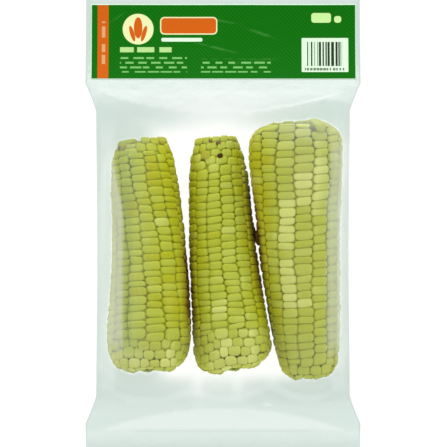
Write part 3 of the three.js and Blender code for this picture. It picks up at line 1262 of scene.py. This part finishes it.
        at_end = (np.abs(points[:, 2] - along[0]) < 0.9) | (np.abs(points[:, 2] - along[-1]) < 0.9)
        rind, pith = ease(0.0, 0.25, inward + 0.05), ease(0.35, 0.5, inward)
        channels = at_end[:, None] * np.stack([rind, pith, 1.0 - inward], axis=-1)
        paint_points(cob, "cob", channels)
        hand_over(cob, Slot.CORN_AND_FILM, finish, "sealed_pouch")
        return cob

    def axis_x(self, y: np.ndarray) -> np.ndarray:
        """X of the ear's axis at each Y."""
        return self.tip[0] + (y - self.tip[1]) * self.direction[0] / self.direction[1]


# ---------------------------------------------------------------- film


@dataclass(frozen=True)
class Glow:
    """A soft pool of light in the film, where it looks clear and white."""

    middle: tuple[float, float]
    reach: tuple[float, float]
    strength: float

    def at(self, x: np.ndarray, y: np.ndarray) -> np.ndarray:
        """How strong the glow is at each point."""
        away_x = (x - self.middle[0]) / self.reach[0]
        away_y = (y - self.middle[1]) / self.reach[1]
        return self.strength * np.exp(-(away_x**2) - away_y**2)


@dataclass
class Film:
    """The pouch's two plies, drawn over the ears by the vacuum."""

    form: PouchForm
    ears: list[Ear]
    columns: int = 136
    rows: int = 232
    half_ply: float = 0.3
    cover: float = 0.2
    shed: float = 0.5
    table_gap: float = 0.06
    pull: float = 0.08
    cloud_free: float = 0.1
    cloud_touch: float = 0.001
    sheen_left: float = 0.1
    sheen_right: float = 0.04
    sheen_head: float = 0.075
    sheen_foot: float = 0.04
    veil_highlight: float = 0.4
    cloud_back: float = 0.05
    passes: tuple[tuple[int, int], ...] = ((8, 500), (4, 300), (2, 200), (1, 160))
    glows: tuple[Glow, ...] = (
        Glow((-4.0, 55.0), (30.0, 14.0), 0.93),
        Glow((3.0, 71.0), (34.0, 9.0), 0.2),
        Glow((-14.5, -90.0), (4.0, 11.0), 0.35),
        Glow((8.7, -90.0), (4.0, 9.0), 0.35),
        Glow((-4.0, -91.0), (26.0, 11.0), 0.45),
        Glow((26.0, -104.0), (3.0, 1.0), 0.35),
    )
    veil_left: float = -57.4
    veil_slant: float = 5.4
    veil_right: float = 60.4
    fold_shade: float = 0.6

    def _grid(self) -> tuple[np.ndarray, np.ndarray]:
        """X and Y of the film's grid, one row of nodes for each step along the pouch."""
        y = np.linspace(-self.form.length / 2, self.form.length / 2, self.rows + 1)
        share = np.linspace(-1, 1, self.columns + 1)
        x = share[None, :] * self.form.half_width(y)[:, None]
        return x, np.repeat(y[:, None], self.columns + 1, axis=1)

    def _feel(self, x: np.ndarray, y: np.ndarray, downwards: bool) -> np.ndarray:
        """Heights at which rays from above or below meet the ears, NaN where they miss."""
        points, faces, offset = [], [], 0
        for ear in self.ears:
            points.append(ear.points)
            faces += [tuple(i + offset for i in face) for face in ear.faces]
            offset += len(ear.points)
        tree = BVHTree.FromPolygons(np.concatenate(points).tolist(), faces)
        start, way = (100.0, (0, 0, -1)) if downwards else (-50.0, (0, 0, 1))
        heights = np.full(x.size, np.nan)
        for k, (px, py) in enumerate(zip(x.ravel(), y.ravel(), strict=True)):
            if abs(px) < self.form.body_width / 2 and self.form.foot < py < self.form.header:
                hit = tree.ray_cast((px, py, start), way)[0]
                if hit is not None:
                    heights[k] = hit.z
        return heights.reshape(x.shape)

    def _relax(self, bound: np.ndarray, fixed: np.ndarray, least: float | None) -> np.ndarray:
        """Draws a ply tight over what it may not enter, from a coarse grid to the full one.

        Args:
            bound: The lowest height that each node may take.
            fixed: True for nodes that stay where they are.
            least: A floor under the negated ply, or None for the front ply.

        Returns:
            The ply's heights.
        """
        height = bound.copy()
        for stride, passes in self.passes:
            rows = np.unique(np.r_[0 : self.rows + 1 : stride, self.rows])
            cols = np.unique(np.r_[0 : self.columns + 1 : stride, self.columns])
            z = height[np.ix_(rows, cols)]
            low = bound[np.ix_(rows, cols)]
            held = fixed[np.ix_(rows, cols)]
            cell = stride * self.form.length / self.rows
            sink = self.pull * cell**2 / 4
            for _ in range(passes):
                mean = (z[1:-1, :-2] + z[1:-1, 2:] + z[:-2, 1:-1] + z[2:, 1:-1]) / 4 - sink
                free = np.maximum(mean, low[1:-1, 1:-1])
                if least is not None:
                    free = np.minimum(free, least)
                z[1:-1, 1:-1] = np.where(held[1:-1, 1:-1], z[1:-1, 1:-1], free)
            along_rows = np.array(
                [np.interp(np.arange(self.rows + 1), rows, z[:, c]) for c in range(len(cols))]
            ).T
            height = np.array(
                [np.interp(np.arange(self.columns + 1), cols, along_rows[r]) for r in range(self.rows + 1)]
            )
            height = np.where(fixed, bound, np.maximum(height, bound))
            if least is not None:
                height = np.minimum(height, least)
        return height

    def _cover(self, over: np.ndarray) -> np.ndarray:
        """The least height of the front ply over the ears, clear of the kernels between nodes."""
        wide = np.pad(over, 1, constant_values=np.nan)
        beside = np.fmax(np.fmax(wide[1:-1, :-2], wide[1:-1, 2:]), np.fmax(wide[:-2, 1:-1], wide[2:, 1:-1]))
        return np.fmax(over + self.cover, beside - self.shed)

    def drape(self) -> None:
        """Settles both plies."""
        x, y = self._grid()
        meeting = self.form.meeting(x, y)
        fixed = self.form.pressed(x, y)
        fixed[:, [0, -1]] = True
        over = self._feel(x, y, downwards=True)
        under = self._feel(x, y, downwards=False)
        top = np.fmax(self._cover(over), meeting + self.half_ply)
        top = np.where(fixed, meeting + self.half_ply, top)
        front = self._relax(top, fixed, None)
        bottom = np.fmin(under - self.cover, meeting - self.half_ply)
        bottom = np.where(fixed, meeting - self.half_ply, bottom)
        bottom = np.maximum(bottom, self.table_gap)
        back = -self._relax(-bottom, fixed, -self.table_gap)
        self.x, self.y, self.front, self.back = x, y, front, np.minimum(back, front - 0.05)
        self.over = ~np.isnan(over)

    def _soften(self, share: np.ndarray, times: int) -> np.ndarray:
        """Blurs a field over the grid, a node's width at a time."""
        for _ in range(times):
            wide = np.pad(share, 1, mode="edge")
            share = (wide[1:-1, :-2] + wide[1:-1, 2:] + wide[:-2, 1:-1] + wide[2:, 1:-1] + share) / 5
        return share

    def _veils(self) -> tuple[np.ndarray, np.ndarray]:
        """How strong the painted highlight is that veils the film over the outer flanks, and how dark the
        painted shade of the fold beside the left veil.
        """
        x, y = self.x, self.y
        left = x - self.veil_left + self.veil_slant * ease(5.0, 40.0, y)
        right = x - self.veil_right - 0.4 * self.veil_slant * ease(10.0, 35.0, y)
        right_veil = 0.8 * ease(-3.0, 1.8, right) + 0.65 * ease(4.0, 7.0, right)
        veil = np.maximum(ease(0.5, -1.2, left), right_veil)
        fold_reach = blend(7.0, 22.0, ease(0.0, 45.0, y))
        fold = ease(fold_reach, 2.5, left) * ease(-0.8, 1.2, left)
        return veil * ease(-82.0, -64.0, y) * ease(56.0, 40.0, y), fold * ease(-80.0, -60.0, y)

    def _sheen(self) -> np.ndarray:
        """The faint haze of light on the film where it touches the corn."""
        x, y = self.x, self.y
        sheen = self.sheen_left * ease(-34.0, -58.0, x)
        sheen = sheen + self.sheen_right * ease(22.0, 48.0, x) * (1 + ease(0.0, 35.0, y))
        sheen = sheen + self.sheen_head * ease(42.0, 58.0, y) * (1 + ease(20.0, 50.0, x))
        return sheen + self.sheen_foot * ease(-50.0, -74.0, y)

    def _cast(self, corn: np.ndarray) -> np.ndarray:
        """How strong the film's mint cast is where it stands free, with less cast on the seals and lens
        facets as a painted reflection of the flat pressed plies.
        """
        x, y = self.x, self.y
        seal = self._soften(self.form.sealed(y).astype(float), 1)
        facet = self._soften(self._lens_facets(), 1)
        beside = ease(-1.5, 3.0, np.abs(x) - 62.0) * (1 - corn) * ease(-100.0, -92.0, y) * ease(66.0, 50.0, y)
        beside = beside * ease(74.0, 69.0, np.abs(x))
        margin = ease(76.5, 79.0, np.abs(x)) * (y > self.form.header_seal)
        crease = ease(0.9, 0.0, np.abs(y - self.form.foot_seal)) * ease(60.0, 45.0, np.abs(x))
        # Painted reflection: the seals and lens facets are painted clearer and so lighter.
        return 1 - 0.13 * seal - 0.3 * facet - 0.2 * beside + 0.3 * margin + 0.4 * crease

    def _looks(self) -> tuple[np.ndarray, np.ndarray]:
        """How cloudy, tinted and glossy each node of the front ply is, then of the back ply; the haze carries
        painted sheen and painted highlights, and the tint carries the fold's painted shade.
        """
        x, y = self.x, self.y
        first, last = self.ears[0], self.ears[-1]
        corn = self._soften(self.over.astype(float), 1)
        inside = np.minimum(x - first.axis_x(y), last.axis_x(y) - x)
        between = ease(-2.0, 14.0, inside) * ease(-94.0, -84.0, y) * ease(62.0, 50.0, y)
        inner = np.maximum(corn, self._soften(between, 2))
        glow = np.clip(sum(spot.at(x, y) for spot in self.glows), 0, 1)
        veil, fold = self._veils()
        back_tint = self._cast(corn) * (1 - inner) * (1 - 0.9 * glow)
        # Painted shade of the fold beside the left veil, as a stronger mint cast.
        tint = back_tint + self.fold_shade * fold * corn
        # Painted light: the haze is thinned under the glows and thickened as painted sheen where the film
        # touches the corn.
        haze_and_sheen = blend(self.cloud_free * (1 - 0.9 * glow), self.cloud_touch + self._sheen(), inner)
        # Painted highlight: a pale veil over the outer flanks, where the film slopes away towards the sides.
        haze_and_sheen = blend(haze_and_sheen, self.veil_highlight, veil * corn)
        head_gloss = 1 - 0.8 * ease(44.0, 56.0, y) * ease(72.0, 62.0, y)
        gloss = blend((1 - 0.6 * glow) * head_gloss, 0.05, inner)
        front = np.stack([haze_and_sheen, tint, gloss], axis=-1)
        back = np.stack([self.cloud_back * (1 - inner), back_tint, np.full_like(haze_and_sheen, 0.5)], axis=-1)
        return front, back

    def _lens_facets(self) -> np.ndarray:
        """1 in the lens between each seal and the bag's free plies, 0 elsewhere."""
        pressed = self.form.pressed(self.x, self.y)
        return (pressed & ~self.form.sealed(self.y)).astype(float)

    def build(self, finish: bpy.types.Material) -> bpy.types.Object:
        """Makes the pouch as one closed shell of two plies.

        Args:
            finish: The film's material.

        Returns:
            The film.
        """
        self.drape()
        rows, cols = self.x.shape
        number = np.arange(rows * cols).reshape(rows, cols)
        plies = [np.stack([self.x, self.y, z], axis=-1).reshape(-1, 3) for z in (self.front, self.back)]
        corners = [number[:-1, :-1], number[:-1, 1:], number[1:, 1:], number[1:, :-1]]
        quads = np.stack([c.ravel() for c in corners], axis=-1)
        back_quads = quads[:, ::-1] + rows * cols
        rim = np.concatenate([number[0, :-1], number[:-1, -1], number[-1, :0:-1], number[:0:-1, 0]])
        ahead = np.roll(rim, -1)
        walls = np.stack([ahead, rim, rim + rows * cols, ahead + rows * cols], axis=-1)
        faces = [tuple(f) for f in np.concatenate([quads, back_quads, walls]).tolist()]
        piece = make_mesh("pouch_film", np.concatenate(plies), faces)
        front, back = self._looks()
        paint_points(piece, "film", np.concatenate([front.reshape(-1, 3), back.reshape(-1, 3)]))
        hand_over(piece, Slot.CORN_AND_FILM, finish, "sealed_pouch")
        return piece


@dataclass(frozen=True)
class HeaderPrint:
    """The printed panel, a sheet that follows the header's sag and wave."""

    form: PouchForm
    panel: Field = PrintFinish.panel
    lift: float = 0.5
    thickness: float = 0.12
    columns: int = 152
    rows: int = 42

    def build(self, finish: bpy.types.Material) -> bpy.types.Object:
        """Models the panel.

        Args:
            finish: The print's material.

        Returns:
            The panel.
        """
        clear_selection()
        bpy.ops.mesh.primitive_grid_add(x_subdivisions=self.columns, y_subdivisions=self.rows, size=1.0)
        piece = bpy.context.object
        piece.name = piece.data.name = "header_panel"
        points = np.array([v.co[:] for v in piece.data.vertices])
        x = blend(self.panel.left, self.panel.right, points[:, 0] + 0.5)
        y = blend(self.panel.low, self.panel.high, points[:, 1] + 0.5)
        z = self.form.meeting(x, y) + self.lift
        piece.data.vertices.foreach_set("co", (np.stack([x, y, z], axis=-1) * MM).ravel())
        piece.data.update()
        bpy.ops.object.shade_smooth()
        solidify = piece.modifiers.new("ink_layer", "SOLIDIFY")
        solidify.thickness = self.thickness * MM
        solidify.offset = 1.0
        bpy.ops.object.modifier_apply(modifier=solidify.name)
        hand_over(piece, Slot.INK, finish, "header_print")
        return piece


# ---------------------------------------------------------------- studio


@dataclass(frozen=True)
class SoftLight:
    """A rectangular lamp that faces the pack."""

    name: str
    place: tuple[float, float, float]
    size: tuple[float, float]
    power: float

    def build(self) -> None:
        """Adds the lamp."""
        lamp = bpy.data.lights.new(self.name, "AREA")
        lamp.shape = "RECTANGLE"
        lamp.size, lamp.size_y = self.size
        lamp.energy = self.power
        piece = bpy.data.objects.new(self.name, lamp)
        bpy.context.scene.collection.objects.link(piece)
        aim = Vector(self.place).to_track_quat("Z", "Y").to_matrix().to_4x4()
        piece.matrix_world = Matrix.Translation(self.place) @ aim


@dataclass(frozen=True)
class Studio:
    """The pale table, the soft light and the camera straight above."""

    pixel: float = 0.58
    frame_pixels: float = 447.0
    middle: tuple[float, float] = (0.29, 1.16)
    focus_height: float = 18.0
    camera_height: float = 2600.0
    sensor: float = 36.0
    dome: float = 0.62
    lights: tuple[SoftLight, ...] = (
        SoftLight("left_light", (-0.9, 0.0, 0.3), (0.9, 0.5), 2.2),
        SoftLight("right_light", (0.9, 0.0, 0.3), (0.9, 0.5), 2.2),
        SoftLight("head_light", (0.0, 0.8, 0.35), (0.5, 0.7), 4.6),
        SoftLight("foot_light", (0.0, -0.9, 0.4), (0.5, 0.5), 1.6),
    )

    def build(self) -> None:
        """Sets up the table, the light and the camera."""
        scene = bpy.context.scene
        scene.view_settings.view_transform = "Standard"
        world = bpy.data.worlds.new("studio")
        world.use_nodes = True
        sky = world.node_tree.nodes["Background"]
        sky.inputs["Color"].default_value = (1.0, 1.0, 1.0, 1.0)
        sky.inputs["Strength"].default_value = self.dome
        scene.world = world
        for light in self.lights:
            light.build()
        clear_selection()
        bpy.ops.mesh.primitive_grid_add(x_subdivisions=4, y_subdivisions=4, size=6.0)
        table = bpy.context.object
        table.name = "table"
        table.data.materials.append(TableFinish().build())
        lens = bpy.data.cameras.new("camera")
        lens.sensor_width = self.sensor
        reach = self.camera_height - self.focus_height
        lens.lens = self.sensor * reach / (self.pixel * self.frame_pixels)
        lens.clip_start, lens.clip_end = 0.1, 20.0
        camera = bpy.data.objects.new("camera", lens)
        camera.location = (self.middle[0] * MM, self.middle[1] * MM, self.camera_height * MM)
        scene.collection.objects.link(camera)
        scene.camera = camera


LEFT_EAR = Ear(
    name="left_ear",
    tip=(-47.2, 52.0),
    butt=(-42.6, -86.9),
    tip_end=EarEnd(2.5, 2.5, face=13.0, rings=2, ring_pitch=5.2, skew=0.06),
    butt_end=EarEnd(17.0, 5.5, face=17.5, rings=4, ring_pitch=5.3, lumps=0.8),
    turn=RowTurn(5.0, -23.0, 2.2),
    radii=((0, 13.8), (0.1, 18.2), (0.25, 20.2), (0.45, 21.3), (0.8, 24.5), (0.9, 23.6), (1, 22.6)),
    seed=3,
    shades=(Shade(1, 0.45, 0.8, 0.75), Shade(1, 0.15, 0.8, 0.2, reach=0.6)),
    patches=(
        Patch((22.0, 20.0), (18.0, 22.0), -0.35),
        Patch((22.0, 105.0), (22.0, 22.0), -0.25),
        Patch((0.0, 138.0), (80.0, 20.0), 0.2),
        Patch((42.0, 126.0), (26.0, 12.0), 0.4),
    ),
    bow=2.3,
    broad=1.02,
    browned=0.3,
    oddments=(
        Oddment((-88.0, -12.0), (1.0, 4.4), -0.7, 0.2, 0.05),
        Oddment((-85.0, -58.0), (4.6, 8.6), -1.5, 0.4, 0.8),
        Oddment((-57.0, -38.0), (4.6, 7.6), -1.3, 0.6, 0.5),
        Oddment((-37.0, -15.0), (4.5, 7.2), -1.2, 0.9, 0.3),
        Oddment((-38.0, -12.0), (7.6, 12.4), -0.4, 0.7, 0.0),
    ),
)
MIDDLE_EAR = Ear(
    name="middle_ear",
    tip=(-4.5, 53.2),
    butt=(7.1, -86.3),
    tip_end=EarEnd(2.5, 2.5, face=10.6, rings=4, ring_pitch=5.1),
    butt_end=EarEnd(18.0, 5.5, face=17.0, rings=5, ring_pitch=5.3, skew=-0.1, lumps=0.8),
    turn=RowTurn(-10.0, 3.0, 3.0),
    radii=((0, 11.4), (0.07, 14.2), (0.19, 16.9), (0.45, 18.8), (0.75, 21), (0.92, 22.3), (1, 21.8)),
    seed=5,
    shades=(
        Shade(-1, 0.5, 0.82, 0.55),
        Shade(1, 0.2, 0.75, 0.62),
        Shade(-1, 0.1, 0.9, 0.2, reach=0.3),
        Shade(1, 0.0, 0.7, 0.18, reach=0.3),
    ),
    patches=(
        Patch((-10.0, 104.0), (14.0, 12.0), 0.3),
        Patch((20.0, 76.0), (14.0, 14.0), 0.2),
        Patch((-12.0, 124.0), (16.0, 8.0), 0.2),
        Patch((41.0, 120.0), (18.0, 10.0), 0.35),
        Patch((0.0, 138.0), (80.0, 26.0), 0.3),
    ),
    pitch=4.4,
    bow=-1.2,
    broad=1.06,
    browned=0.12,
    oddments=(
        Oddment((-19.0, -6.0), (2.8, 5.4), -0.5, 0.1, 0.7, alone=False),
        Oddment((0.0, 14.0), (5.2, 7.6), -0.5, 0.1, 0.8, alone=False),
        Oddment((-40.0, -27.0), (12.6, 15.6), -0.5, 0.1, 0.7, alone=False),
        Oddment((3.0, 16.0), (12.2, 15.3), -0.45, 0.1, 1.0, alone=False),
        Oddment((80.0, 100.0), (55.5, 62.5), 0.5, 0.3, 0.9),
    ),
)
RIGHT_EAR = Ear(
    name="right_ear",
    tip=(50.2, -90.0),
    butt=(40.9, 62.3),
    tip_end=EarEnd(14.0, 5.0, face=12.5, rings=2, ring_pitch=5.3, lumps=0.6),
    butt_end=EarEnd(16.0, 3.5, face=22.0, rings=0, lumps=0.4),
    turn=RowTurn(-18.0, -1.0, 1.3),
    radii=((0, 16.2), (0.08, 17), (0.19, 19.3), (0.42, 22), (0.62, 23.7), (0.85, 26.3), (1, 24.6)),
    seed=8,
    spread=(0.05, -0.13),
    shades=(Shade(-1, 0.4, 0.75, 0.55), Shade(-1, 0.25, 0.95, 0.24, reach=-0.2)),
    patches=(
        Patch((-14.0, 93.0), (13.0, 15.0), 0.5),
        Patch((-20.0, 53.0), (14.0, 16.0), 0.45),
        Patch((-44.0, 76.0), (14.0, 11.0), 0.35),
        Patch((8.0, 113.0), (16.0, 12.0), 0.3),
        Patch((34.0, 118.0), (18.0, 20.0), 0.35),
        Patch((75.0, 80.0), (30.0, 90.0), 0.4),
        Patch((0.0, 152.0), (90.0, 24.0), 0.2),
        Patch((10.0, 70.0), (60.0, 90.0), 0.12),
    ),
    pitch=5.0,
    bow=-1.2,
    broad=1.06,
    browned=0.0,
    oddments=(
        Oddment((30.0, 50.0), (145.4, 152.0), 0.8, 0.5, 0.0),
        Oddment((-100.0, -80.0), (81.0, 88.5), 1.0, 0.3, 0.9),
    ),
)


def main() -> None:
    """Builds the pack and the studio."""
    logging.basicConfig(level=logging.INFO, format="%(name)s: %(message)s")
    Studio().build()
    form = PouchForm()
    kernel_finish = KernelFinish().build()
    cob_finish = CobFinish().build()
    kernel = KernelShape().model()
    ears = [LEFT_EAR, MIDDLE_EAR, RIGHT_EAR]
    for ear in ears:
        ear.grow_kernels(kernel, kernel_finish)
        ear.model_cob(cob_finish)
    Film(form, ears).build(FilmFinish().build())
    HeaderPrint(form).build(PrintFinish().build())


if __name__ == "__main__":
    main()
